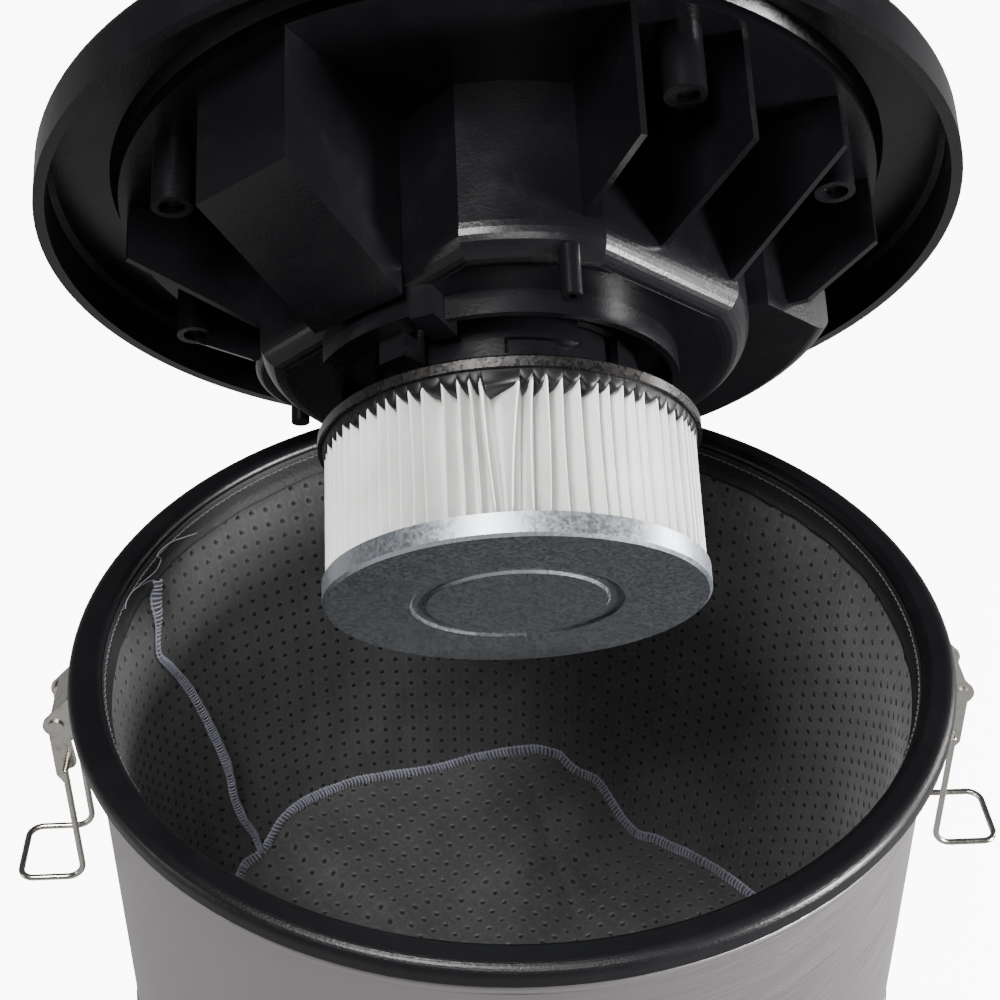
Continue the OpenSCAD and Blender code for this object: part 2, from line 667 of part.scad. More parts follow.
// A cross-shaped guard over the suction eye.
module inlet_guard() color("#2a2b2e") in_lid() translate([0, 0, -pot_depth - 2.2]) {
    tube(spigot_in - 0.1, spigot_in - 3.1, 2.1);
    tube(16, 14, 2.1);
    for (a = [0:45:135]) rotate([0, 0, a]) difference() {
        translate([-spigot_in + 2, -1, 0]) cube([2 * spigot_in - 4, 2, 2.1]);
        translate([0, 0, -1]) cylinder(r = 15, h = 5);
    }
}

// ---------- motor cover ----------

function cover_line(d) = concat(
    [[cover_foot_r - d, brim_top], [cover_foot_r - d, brim_top + 4]],
    [[cover_r + 3 - d, brim_top + 17], [cover_r - d, brim_top + 24]],
    arc([cover_r - 16, cover_top - 16], 16 - d, 0, 90, 10));

window_half = 50;
window_low = 50;
window_high = 84;
pod_y = cover_r + 9;

module motor_cover() color("#1b1c1f") in_lid()
    difference() {
        union() {
            rotate_extrude() polygon(concat(cover_line(0), [[0, cover_top], [0, cover_top - mould_t]],
                [for (p = [len(cover_line(mould_t)) - 1:-1:0]) cover_line(mould_t)[p]]));
            difference() {
                translate([-21, -pod_y, 44]) cube([42, 16, 44]);
                translate([-18.5, -pod_y + mould_t, 46.5]) cube([37, 16, 39]);
            }
            intersection() {
                screw_bosses(5.5, deck_h + mould_t + 0.3, brim_top + 22);
                rotate_extrude() polygon(concat(cover_line(0.5), [[0, cover_top], [0, 0], [cover_foot_r - 3, 0]]));
            }
            translate([0, 0, frame_top + 7]) tube(20, 17.4, cover_top - frame_top - 8);
            translate([0, 0, frame_top + 18.4]) tube(18, 12, 3);
        }
        translate([0, 0, 47]) intersection() {
            cylinder(r = cover_r - mould_t, h = 38);
            translate([-18.5, -cover_r, 0]) cube([37, 30, 38]);
        }
        difference() {
            translate([-window_half, 0, window_low]) cube([2 * window_half, wide, window_high - window_low]);
            cylinder(r = cover_r - 8, h = wide);
        }
        translate([0, -pod_y + 8, 66]) rotate([90, 0, 0]) translate([-13, -10.5, 0]) cube([26, 21, 20]);
        screw_bosses(screw_r - 0.1, 0, brim_top + 10);
        at_gland() translate([0, 0, -10]) cylinder(r = 6.3, h = 30);
        at_handle_screws() translate([0, 0, -10]) cylinder(r = screw_r, h = 20);
    }

module cover_screws() color("#3a3a3c") in_lid() {
    screw_bosses(screw_r - 0.15, -11.5, brim_top + 8);
    screw_bosses(4, -11.5, -9 - head_gap);
}

// An arched grip on two feet, fixed to the top of the cover.
module carry_handle() color("#232427") in_lid() translate([0, 0, cover_top + head_gap])
    difference() {
        translate([0, 14, 0]) rotate([90, 0, 0]) linear_extrude(28) difference() {
            union() {
                translate([-72, 0]) square([144, 6]);
                translate([-70, 0]) square([140, 24]);
                translate([-52, 0]) square([104, 42]);
                for (side = [-1, 1]) translate([side * 52, 24]) circle(18);
            }
            translate([-50, 8]) square([100, 10]);
            translate([-40, -1]) square([80, 27]);
            for (side = [-1, 1]) translate([side * 40, 16]) circle(10);
            translate([-50, -1]) square([100, 17]);
        }
        translate([0, 0, -cover_top]) at_handle_screws() translate([0, 0, -1]) cylinder(r = screw_r, h = 10);
    }

module at_handle_screws() for (x = [-60, 60]) for (y = [-7, 7]) translate([x, y, cover_top]) children();

module handle_screws() color("#3a3a3c") in_lid() at_handle_screws() {
    translate([0, 0, -mould_t - 2.4]) cylinder(r = 3.8, h = 2.3);
    translate([0, 0, -mould_t - 2.4]) cylinder(r = screw_r - 0.1, h = mould_t + 10);
}

module exhaust_grille() color("#242528") in_lid()
    difference() {
        rotate([0, 0, 90]) shell_patch(cover_r - mould_t + 0.1, mould_t - 0.2, window_half - 0.2, window_low + 0.2, window_high - 0.2);
        for (k = [0:4]) for (x = [-47, -15, 17])
            translate([x, 60, window_low + 3.4 + 5.8 * k]) cube([30, 100, 3.4]);
    }

// ---------- mains switch and cable gland ----------

rocker_z = 66;

module switch_bezel() color("#2b2c2f") in_lid() translate([0, -pod_y, rocker_z]) rotate([90, 0, 0])
    difference() {
        union() {
            translate([-15.5, -13, 0.05]) cube([31, 26, 1.8]);
            translate([-12.8, -10.3, -9]) cube([25.6, 20.6, 9.2]);
        }
        translate([-9.3, -8.3, -8]) cube([18.6, 16.6, 12]);
        translate([-11, 0, -3]) rotate([0, 90, 0]) cylinder(r = 1.2 + run_gap, h = 22);
    }

// The rocker stands with its lower half pressed in: off.
module power_rocker() color("#8e1f1c") in_lid() translate([0, -pod_y, rocker_z]) rotate([90, 0, 0])
    translate([0, 0, -3]) {
        rotate([0, 90, 0]) translate([0, 0, -10.6]) cylinder(r = 1.2, h = 21.2);
        rotate([9, 0, 0]) translate([9, 0, 0]) rotate([0, -90, 0]) linear_extrude(18)
            polygon([[-3, -3.5], [2.6, -7.4], [6.6, -7.2], [4.9, 0], [6.6, 7.2], [2.6, 7.4], [-3, 3.5]]);
    }

module at_gland() rotate([0, 0, 35]) translate([cover_r, 0, 56]) rotate([0, 90, 0]) children();

module cable_gland() color("#1c1d20") in_lid() at_gland() difference() {
    union() {
        translate([0, 0, -8]) cylinder(r = 6, h = 16);
        translate([0, 0, 0.3]) cylinder(r = 9, h = 3.5, $fn = 6);
        translate([0, 0, 8]) cylinder(r1 = 6, r2 = 4.8, h = 12);
    }
    translate([0, 0, -9]) cylinder(r = 3.6, h = 40);
}

module gland_nut() color("#1c1d20") in_lid() at_gland() difference() {
    translate([0, 0, -mould_t - 4.6]) cylinder(r = 9, h = 3.4, $fn = 6);
    translate([0, 0, -20]) cylinder(r = 6.05, h = 30);
}

// ---------- motor ----------

module motor_seat() color("#202020") in_lid() translate([0, 0, -pot_depth + mould_t])
    tube(fan_case_r - 7, eye_r + 6, 5);

module fan_case() color("#a8a9ab") in_lid() translate([0, 0, motor_low])
    rotate_extrude() polygon([[20, 0], [fan_case_r, 0], [fan_case_r, fan_case_h],
        [motor_frame_r - 14, fan_case_h], [motor_frame_r - 14, fan_case_h - 1.5], [fan_case_r - 1.5, fan_case_h - 1.5],
        [fan_case_r - 1.5, 1.5], [20, 1.5]]);

module motor_frame() color("#9a9b9d") in_lid() translate([0, 0, fan_case_top + 0.05]) {
    wall = 2;
    height = frame_top - fan_case_top;
    difference() {
        union() {
            tube(motor_frame_r, motor_frame_r - wall, height - 1);
            translate([0, 0, height - 3]) cylinder(r = motor_frame_r, h = 3);
            translate([0, 0, height - 10]) cylinder(r = bearing_r + 3, h = 14);
            cylinder(r = motor_frame_r, h = 2.5);
            cylinder(r = bearing_r + 3, h = bearing_h + 3);
        }
        translate([0, 0, -1]) cylinder(r = bearing_r, h = bearing_h + 1);
        translate([0, 0, -1]) cylinder(r = shaft_r + 2, h = wide);
        translate([0, 0, height - 11]) cylinder(r = bearing_r, h = bearing_h + 1);
        for (a = [0:60:300]) rotate([0, 0, a + 30]) translate([30, 0, -1]) cylinder(r = 6, h = 5);
        for (a = [0:60:300]) rotate([0, 0, a + 30]) translate([30, 0, height - 5]) cylinder(r = 7, h = 8);
    }
}

module motor_stator() color("#8a4b2a") in_lid() translate([0, 0, fan_case_top + 14])
    difference() {
        union() {
            tube(motor_frame_r - 2.1, 27, 30);
            for (side = [-1, 1]) translate([0, side * 33, 15]) cube([30, 8, 38], center = true);
        }
        translate([0, 0, -8]) cylinder(r = 25.5, h = 50);
    }

module motor_brushes() color("#3b3b3d") in_lid() translate([0, 0, fan_case_top + 51])
    for (side = [-1, 1]) translate([side > 0 ? 12.4 : -motor_frame_r + 2.4, -3.5, -4]) cube([motor_frame_r - 14.8, 7, 8]);

module motor_bearings() color("#c4c4c6") in_lid()
    for (z = [fan_case_top + 0.1, frame_top - 10.1]) translate([0, 0, z]) tube(bearing_r - 0.02, shaft_r + run_gap, bearing_h - 0.1);

module motor_top_mount() color("#202020") in_lid() translate([0, 0, frame_top + 4.1])
    tube(17.2, 8, 14);

module motor_shaft() color("#b8b8ba") in_lid() translate([0, 0, motor_low + 4])
    cylinder(r = shaft_r, h = frame_top - motor_low - 6);

module armature() color("#7a4a30") in_lid() translate([0, 0, fan_case_top + 13]) difference() {
    cylinder(r = 25, h = 32);
    translate([0, 0, -1]) cylinder(r = shaft_r, h = 40);
    for (k = [0:armature_slots - 1]) rotate([0, 0, 360 * k / armature_slots]) translate([20, -1.2, -1]) cube([6, 2.4, 34]);
}

module commutator() color("#b46a3a") in_lid() translate([0, 0, fan_case_top + 46])
    tube(12, shaft_r, 9.5);

// A closed fan: two discs and backward-leaning blades.
module suction_fan() color("#c9cacc") in_lid() translate([0, 0, motor_low + 5]) {
    fan_r = fan_case_r - 6;
    difference() {
        union() {
            cylinder(r = fan_r, h = 1.5);
            translate([0, 0, 20]) cylinder(r = fan_r, h = 1.5);
            cylinder(r = 9, h = 21);
        }
        translate([0, 0, -1]) cylinder(r = shaft_r, h = 40);
        translate([0, 0, -1]) tube(18, 9, 2.6);
    }
    for (k = [0:8]) rotate([0, 0, 40 * k]) translate([19, 0, 1.5 - eps]) rotate([0, 0, -38])
        cube([34, 1.2, 18.5 + 2 * eps]);
}

// ---------- filter cartridge ----------

module filter_collar() color("#17181a") in_lid() {
    low = cartridge_top;
    high = -pot_depth - 2;
    difference() {
        union() {
            translate([0, 0, low + 0.02]) tube(collar_r + collar_t, collar_r, high - low - 0.02);
            translate([0, 0, low + 0.02]) tube(collar_r + collar_t + 4, collar_r, 2.2);
        }
        for (k = [0:2]) rotate([0, 0, slot_start + slot_span + 120 * k]) mirror([0, 1, 0]) {
            translate([0, 0, lug_top - lug_h - lug_play]) rotate_extrude(angle = slot_span)
                translate([collar_r - 1, 0]) square([collar_t + 2, lug_h + 2 * lug_play]);
            translate([0, 0, lug_top]) rotate_extrude(angle = lug_span + 3)
                translate([collar_r - 1, 0]) square([collar_t + 2, 20]);
        }
    }
}

module filter_gasket() color("#2c2c2e") in_lid() translate([0, 0, -pot_depth - 1.9])
    tube(collar_r + collar_t, collar_r + 0.2, 1.6);

module filter_top_ring() color("#9fa3a6") in_lid() translate([0, 0, cartridge_top])
    rotate_extrude() polygon([[collar_r, 0], [collar_r, -1.2], [cap_r - 0.2, -1.2], [cap_r - 0.2, -4],
        [cap_r + 1, -4], [cap_r + 1, -0.8], [cap_r + 0.2, 0]]);

module filter_potting() color("#151517") in_lid() translate([0, 0, cartridge_top - 5.6])
    tube(cap_r - 0.3, collar_r + 0.2, 4.3);

function pleat_ring(r) = [for (i = [0:2 * pleats - 1])
    (r - (i % 2) * pleat_depth) * [cos(180 * i / pleats), sin(180 * i / pleats)]];

module filter_pleats() color("#eef0ec") in_lid() translate([0, 0, cartridge_bottom + 1.2])
    linear_extrude(cartridge_h - 1.2 - 5.7) difference() {
        polygon(pleat_ring(pleat_r));
        polygon(pleat_ring(pleat_r - pleat_t));
    }

// The inner support: four bands joined by upright strips.
module filter_core() color("#9fa3a6") in_lid() translate([0, 0, cartridge_bottom + 1.2]) {
    height = cartridge_h - 1.2 - 5.7;
    band = 3;
    for (k = [0:3]) translate([0, 0, k * (height - band) / 3]) tube(core_out, core_out - 0.8, band);
    for (a = [0:30:330]) rotate([0, 0, a]) translate([core_out - 0.75, -2, 0]) cube([0.65, 4, height]);
}

module filter_bottom_cap() color("#9fa3a6") in_lid() translate([0, 0, cartridge_bottom])
    rotate_extrude() polygon(concat(
        [[0, 0]], groove_line(groove_half, 0), [[cap_r - 1, 0], [cap_r, 1], [cap_r, cap_band], [cap_r - 1, cap_band]],
        [[cap_r - 1, 1.1]], [for (i = [3:-1:0]) groove_line(groove_half + 0.4, 1.1)[i]], [[0, 1.1]]));

// The embossed ring of the cap's disc, as a step of 0.8 between two slopes.
function groove_line(half, z) = [[groove_mid - half - 0.5, z], [groove_mid - half + 0.3, z + 0.8],
    [groove_mid + half - 0.3, z + 0.8], [groove_mid + half + 0.5, z]];

// ---------- nodes ----------

base_ring();
drum_wall();
drum_floor();
bag_ring();
filter_bag();
inlet_socket();
inlet_gasket();
inlet_lock_ring();
latch_plate_left();
latch_plate_right();
latch_rivets();
lever_pins();
hinge_bracket();
hinge_rivets();
hinge_pin();
lid_base();
hinge_leaf();
hinge_screws();
inlet_guard();
motor_cover();
cover_screws();
carry_handle();
handle_screws();
exhaust_grille();
switch_bezel();
cable_gland();
gland_nut();
motor_seat();
fan_case();
motor_frame();
motor_stator();
motor_brushes();
motor_bearings();
motor_top_mount();
motor_shaft();
armature();
commutator();
suction_fan();
filter_collar();
filter_gasket();
filter_top_ring();
filter_potting();
filter_pleats();
filter_core();
filter_bottom_cap();
lever_left();
lever_right();
bail_left();
bail_right();
power_rocker();
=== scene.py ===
"""Looks for the drum vacuum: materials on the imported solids, and the cloth bag with its seams, the
pleated paper and the poured resin, which are made here. Metres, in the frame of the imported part."""
import json
import math
import random

import bpy
from mathutils import Matrix, Vector, noise


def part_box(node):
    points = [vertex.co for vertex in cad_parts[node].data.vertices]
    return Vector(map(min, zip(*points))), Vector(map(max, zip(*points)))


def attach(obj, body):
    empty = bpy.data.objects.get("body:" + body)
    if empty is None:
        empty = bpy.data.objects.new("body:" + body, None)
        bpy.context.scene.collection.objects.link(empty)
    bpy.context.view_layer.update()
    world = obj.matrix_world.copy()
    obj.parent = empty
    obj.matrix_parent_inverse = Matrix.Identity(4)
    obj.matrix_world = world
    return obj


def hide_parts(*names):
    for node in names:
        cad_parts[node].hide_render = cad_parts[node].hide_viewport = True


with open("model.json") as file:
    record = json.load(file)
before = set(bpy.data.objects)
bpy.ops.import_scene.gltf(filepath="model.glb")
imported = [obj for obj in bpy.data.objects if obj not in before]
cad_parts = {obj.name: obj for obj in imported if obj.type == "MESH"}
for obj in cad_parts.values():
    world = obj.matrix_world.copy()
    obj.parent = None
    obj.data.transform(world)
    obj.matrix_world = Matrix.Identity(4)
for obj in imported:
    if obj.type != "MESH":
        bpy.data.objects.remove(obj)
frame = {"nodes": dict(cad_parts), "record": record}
NODES = frame["nodes"]
JOINTS = {j["name"]: j for j in frame["record"]["behaviour"]["joints"]}
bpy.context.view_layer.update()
MM = 0.001
RNG = random.Random(11)


# ---------- places, from the frame ----------

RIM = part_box("bag_ring")[1].z
BAG_LOW, BAG_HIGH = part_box("filter_bag")
HEM_R = (BAG_HIGH.x - BAG_LOW.x) / 2
WALL_INSET = 4.2 * MM
BAG_R = HEM_R - WALL_INSET

# The head is open at rest, so what is made in its own upright frame is turned with it.
LID_AXIS = Vector(JOINTS["rotor_spin"]["axis"]).normalized()
LID_ORIGIN = Vector(JOINTS["rotor_spin"]["pos_m"])
LID_TURN = Vector((0, 0, 1)).rotation_difference(LID_AXIS).to_matrix().to_4x4()
IN_LID = Matrix.Translation(LID_ORIGIN) @ LID_TURN


# ---------- camera, floor and light ----------

CAMERA_PLACE = (-0.0276, -0.4921, 0.7005)
CAMERA_TURN = (2.77, 35.15, -0.19)      # degrees: to the right, down, and tilted
LENS_MM, SENSOR_MM = 66.6, 36


def make_camera():
    yaw, pitch, roll = (math.radians(a) for a in CAMERA_TURN)
    forward = Vector((math.sin(yaw) * math.cos(pitch), math.cos(yaw) * math.cos(pitch),
                      -math.sin(pitch)))
    right = forward.cross(Vector((0, 0, 1))).normalized()
    up = right.cross(forward)
    right, up = (right * math.cos(roll) + up * math.sin(roll),
                 up * math.cos(roll) - right * math.sin(roll))
    data = bpy.data.cameras.new("camera")
    data.lens, data.sensor_width = LENS_MM, SENSOR_MM
    camera = bpy.data.objects.new("camera", data)
    turn = Matrix((right, up, -forward)).transposed().to_4x4()
    camera.matrix_world = Matrix.Translation(CAMERA_PLACE) @ turn
    bpy.context.collection.objects.link(camera)
    bpy.context.scene.camera = camera


def area_light(name, place, aim, size, power):
    data = bpy.data.lights.new(name, "AREA")
    data.shape, data.size, data.size_y = "RECTANGLE", size[0], size[1]
    data.energy = power
    lamp = bpy.data.objects.new(name, data)
    lamp.location = place
    lamp.rotation_euler = (Vector(aim) - Vector(place)).to_track_quat("-Z", "Y").to_euler()
    bpy.context.collection.objects.link(lamp)


FLOOR_GLOW = 9
# Brightness of the surroundings, which the part mirrors: pale below, dim from the horizon up.
WORLD_LOW, WORLD_HIGH = (-0.45, 0.5), (0.1, 0.09)       # height of the direction, brightness
# Name, place, aim, size and power of each light.
LIGHTS = [
    ("key_right", (1.4, -0.56, 0.44), (0, 0, 0.42), (0.42, 0.3), 66),
    ("side_right", (1.3, 0.35, 0.42), (0.1, 0, 0.4), (0.4, 0.4), 9),
    ("fill_left", (-1.45, -0.3, 0.36), (0, 0, 0.4), (0.5, 0.3), 2),
    ("top_front", (-0.36, -0.58, 1.4), (0, -0.04, 0.1), (0.4, 0.4), 22),
    ("front_soft", (0.1, -0.95, 1.16), (0, 0.05, 0.15), (0.5, 0.4), 5)]


def make_stage():
    """A white floor that glows, so it stays white all round. The part neither mirrors it nor is lit by it."""
    bpy.ops.mesh.primitive_plane_add(size=30, location=(0, 0, -0.5 * MM))
    floor = bpy.context.object
    floor.name = "floor"
    pale = Shade("floor_pale", (0.9, 0.9, 0.9), 0.8, Emission_Color=(1, 1, 1, 1),
                 Emission_Strength=FLOOR_GLOW)
    floor.data.materials.append(pale.material)
    floor.visible_glossy = floor.visible_diffuse = False
    world = bpy.data.worlds.new("studio")
    world.use_nodes = True
    tree = world.node_tree
    at = tree.nodes.new("ShaderNodeTexCoord")
    parts = tree.nodes.new("ShaderNodeSeparateXYZ")
    height = tree.nodes.new("ShaderNodeMapRange")
    tree.links.new(at.outputs["Generated"], parts.inputs["Vector"])
    tree.links.new(parts.outputs["Z"], height.inputs["Value"])
    for key, value in zip(("From Min", "To Min", "From Max", "To Max"), WORLD_LOW + WORLD_HIGH):
        height.inputs[key].default_value = value
    tree.nodes["Background"].inputs["Color"].default_value = (1, 1, 1, 1)
    tree.links.new(height.outputs["Result"], tree.nodes["Background"].inputs["Strength"])
    bpy.context.scene.world = world
    for light in LIGHTS:
        area_light(*light)


# ---------- materials ----------

class Shade:
    """A Principled material, with short calls that add the nodes of its pattern."""

    def __init__(self, name, colour, rough, **sockets):
        self.material = bpy.data.materials.new(name)
        self.material.use_nodes = True
        self.tree = self.material.node_tree
        self.out = self.tree.nodes["Principled BSDF"]
        self.material.diffuse_color = (*colour, 1)
        self.out.inputs["Base Color"].default_value = (*colour, 1)
        self.out.inputs["Roughness"].default_value = rough
        for key, value in sockets.items():
            self.out.inputs[key.replace("_", " ")].default_value = value

    def node(self, kind, inputs=None, **settings):
        made = self.tree.nodes.new("ShaderNode" + kind)
        for key, value in settings.items():
            setattr(made, key, value)
        for key, value in (inputs or {}).items():
            if isinstance(value, bpy.types.NodeSocket):
                self.tree.links.new(value, made.inputs[key])
            else:
                made.inputs[key].default_value = value
        return made

    def place(self, scale=(1, 1, 1)):
        """Coordinates in metres, stretched by scale."""
        at = self.node("TexCoord").outputs["Object"]
        return self.node("Mapping", {"Vector": at, "Scale": scale}).outputs["Vector"]

    def noise(self, scale, detail=3.0, roughness=0.5, at=None):
        return self.node("TexNoise", {"Vector": at or self.place(), "Scale": scale, "Detail": detail,
                                      "Roughness": roughness}).outputs["Fac"]

    def cells(self, scale):
        """Small cells, each with a grey of its own."""
        colour = self.node("TexVoronoi", {"Vector": self.place(), "Scale": scale}).outputs["Color"]
        return self.node("RGBToBW", {"Color": colour}).outputs["Val"]

    def calc(self, operation, a, b=0.0):
        return self.node("Math", {0: a, 1: b}, operation=operation).outputs[0]

    def spread(self, value, low, high, to_low=0.0, to_high=1.0):
        """value from low..high carried over to to_low..to_high, and held at the ends."""
        return self.node("MapRange", {"Value": value, "From Min": low, "From Max": high,
                                      "To Min": to_low, "To Max": to_high}).outputs["Result"]

    def blend(self, share, a, b):
        made = self.node("Mix", data_type="RGBA")
        for index, value in ((0, share), (6, a), (7, b)):
            if isinstance(value, bpy.types.NodeSocket):
                self.tree.links.new(value, made.inputs[index])
            else:
                made.inputs[index].default_value = (*value, 1) if index else value
        return made.outputs[2]

    def set(self, socket, value):
        self.tree.links.new(value, self.out.inputs[socket])

    def bump(self, height, distance, strength=1.0):
        """Adds one layer of bump; calls stack."""
        inputs = {"Height": height, "Distance": distance, "Strength": strength}
        if self.out.inputs["Normal"].is_linked:
            inputs["Normal"] = self.out.inputs["Normal"].links[0].from_socket
        self.set("Normal", self.node("Bump", inputs).outputs["Normal"])


def plastic(name, colour, rough, grain=0.00006, dust=0.3):
    """Moulded plastic: fine spark-eroded grain, soft flow marks, a little dust."""
    s = Shade(name, colour, rough, Specular_IOR_Level=0.36)
    flow = s.noise(14, 4, 0.6)
    fine = s.noise(900, 2, 0.5)
    dusty = s.spread(s.noise(55, 6, 0.7), 0.52, 0.75, 0, dust)
    pale = tuple(min(1, c * 1.5 + 0.004) for c in colour)
    s.set("Base Color", s.blend(dusty, colour, pale))
    s.set("Roughness", s.calc("ADD", s.spread(flow, 0.3, 0.7, rough - 0.07, rough + 0.08),
                              s.calc("MULTIPLY", dusty, 0.25)))
    s.bump(fine, grain)
    s.bump(flow, 0.0008, 0.2)
    return s.material


def sheet_metal(name, colour, rough, brushed=(1, 1, 60), spangle=0.0, tint=(0.5, 0.5, 0.5)):
    """Sheet metal: brushed along one direction, or with the fine crystals of a zinc coat."""
    s = Shade(name, colour, rough, Metallic=1.0)
    patch = s.noise(9, 3, 0.6)
    if spangle:
        crystal = s.cells(spangle)
        shade = s.calc("ADD", s.calc("MULTIPLY", crystal, 0.6), s.calc("MULTIPLY", patch, 0.3))
        s.set("Roughness", s.spread(crystal, 0.2, 0.8, rough - 0.04, rough + 0.06))
    else:
        lines = s.noise(30, 4, 0.6, s.place(brushed))
        shade = s.spread(patch, 0.3, 0.7, 0, 0.5)
        s.set("Roughness", s.spread(lines, 0.25, 0.75, rough - 0.06, rough + 0.1))
        s.bump(lines, 0.00008)
        s.bump(s.noise(70, 3), 0.0002, 0.3)
    s.set("Base Color", s.blend(shade, colour, tint))
    return s.material


def wire_metal(name, colour, rough):
    """Plated spring steel and pressings: bright, with dull spots and drawing lines."""
    s = Shade(name, colour, rough, Metallic=1.0)
    spots = s.spread(s.noise(260, 5, 0.7), 0.5, 0.75)
    s.set("Base Color", s.blend(spots, colour, tuple(c * 0.62 for c in colour)))
    s.set("Roughness", s.spread(spots, 0, 1, rough, rough + 0.2))
    s.bump(s.noise(420, 3), 0.00005)
    return s.material


def rubber(name, colour, rough):
    """Black rubber with a dull bloom in patches."""
    s = Shade(name, colour, rough, Specular_IOR_Level=0.35)
    bloom = s.spread(s.noise(38, 6, 0.65), 0.45, 0.75, 0, 0.5)
    s.set("Base Color", s.blend(bloom, colour, tuple(c * 1.6 + 0.004 for c in colour)))
    s.bump(s.noise(1100, 2), 0.0001)
    return s.material


DIMPLE_PITCH = 6.5 * MM
DIMPLE_R = 1.3 * MM
FAR_OFF = 1000.0        # whole pitches, so that no place on the cloth counts below zero


def needle_felt():
    """Grey needle felt with a square lattice of small punched dimples, laid out by the cloth's UVs; painted
    shade darkens each dimple and a painted highlight rings it.
    """
    s = Shade("needle_felt", (0.09, 0.088, 0.086), 0.95, Specular_IOR_Level=0.15, Sheen_Weight=0.15,
              Sheen_Roughness=0.5)
    at = s.node("SeparateXYZ", {"Vector": s.node("UVMap").outputs["UV"]})
    dx, dy = (s.calc("MULTIPLY", s.calc("SUBTRACT", s.calc("FRACT", s.calc(
        "ADD", s.calc("DIVIDE", at.outputs[axis], DIMPLE_PITCH), FAR_OFF)), 0.5), DIMPLE_PITCH / DIMPLE_R)
        for axis in "XY")
    far = s.calc("SQRT", s.calc("ADD", s.calc("MULTIPLY", dx, dx), s.calc("MULTIPLY", dy, dy)))
    # this mask shapes each dimple's bump and also carries the painted shade in it
    dimple_pit_and_shade = s.spread(far, 0.3, 1.0, 1, 0)
    rim = s.calc("MULTIPLY", s.spread(far, 0.9, 1.3), s.spread(far, 1.3, 2.0, 1, 0))
    fibre = s.noise(1500, 3, 0.7)
    threads = s.noise(60, 3, 0.6, s.place((14, 14, 1)))
    cloud = s.calc("ADD", s.calc("MULTIPLY", s.noise(26, 4, 0.6), 0.6), s.calc("MULTIPLY", threads, 0.4))
    base = s.blend(s.spread(cloud, 0.35, 0.65), (0.036, 0.0346, 0.0348), (0.07, 0.0672, 0.0676))
    flecked = s.blend(s.spread(fibre, 0.55, 0.8, 0, 0.35), base, (0.19, 0.186, 0.183))
    # painted highlight: a lighter ring round each dimple, as light on its raised lip
    with_rim_highlight = s.blend(s.calc("MULTIPLY", rim, 0.10), flecked, (0.18, 0.176, 0.174))
    # painted shade: each dimple's middle is darkened nearly to black, as shade in the pit
    s.set("Base Color", s.blend(s.calc("MULTIPLY", dimple_pit_and_shade, 0.9), with_rim_highlight, (0.006, 0.006, 0.006)))
    s.bump(s.calc("SUBTRACT", 1.0, dimple_pit_and_shade), 0.0014)
    s.bump(fibre, 0.0003, 0.6)
    return s.material


def thread_material(name, colour):
    """Spun thread: matt, with a fine twist."""
    s = Shade(name, colour, 0.8, Sheen_Weight=0.3)
    twist = s.noise(2400, 2, 0.6)
    patchy = s.spread(s.noise(180, 3), 0.3, 0.7)
    s.set("Base Color", s.blend(patchy, tuple(c * 0.7 for c in colour), colour))
    s.bump(twist, 0.0002)
    return s.material


def filter_paper():
    """White filter paper with a fibrous face, thin enough to let a little light through."""
    s = Shade("filter_paper", (0.83, 0.85, 0.82), 0.9, Specular_IOR_Level=0.25, Subsurface_Weight=0.04,
              Subsurface_Scale=0.001)
    fibre = s.noise(1300, 4, 0.65)
    cloud = s.noise(60, 4, 0.6)
    s.set("Base Color", s.blend(s.spread(cloud, 0.3, 0.7), (0.88, 0.89, 0.865), (0.74, 0.755, 0.73)))
    s.bump(fibre, 0.00022, 0.8)
    return s.material


def poured_resin():
    """Black resin, poured and set: satin, with slight waves."""
    s = Shade("poured_resin", (0.004, 0.004, 0.005), 0.4, Specular_IOR_Level=0.3)
    s.set("Roughness", s.spread(s.noise(120, 3), 0.3, 0.7, 0.34, 0.5))
    s.bump(s.noise(240, 2), 0.0002, 0.4)
    return s.material


ZINC_SPANGLE = 1100     # crystals to the metre
# Nodes that look other than their record's slot: a glossier rubber, and zinc painted dark as a painted
# reflection of the lid.
OWN_LOOKS = {"bag_ring": "ring_rubber", "filter_top_ring": "zinc_painted_dark"}


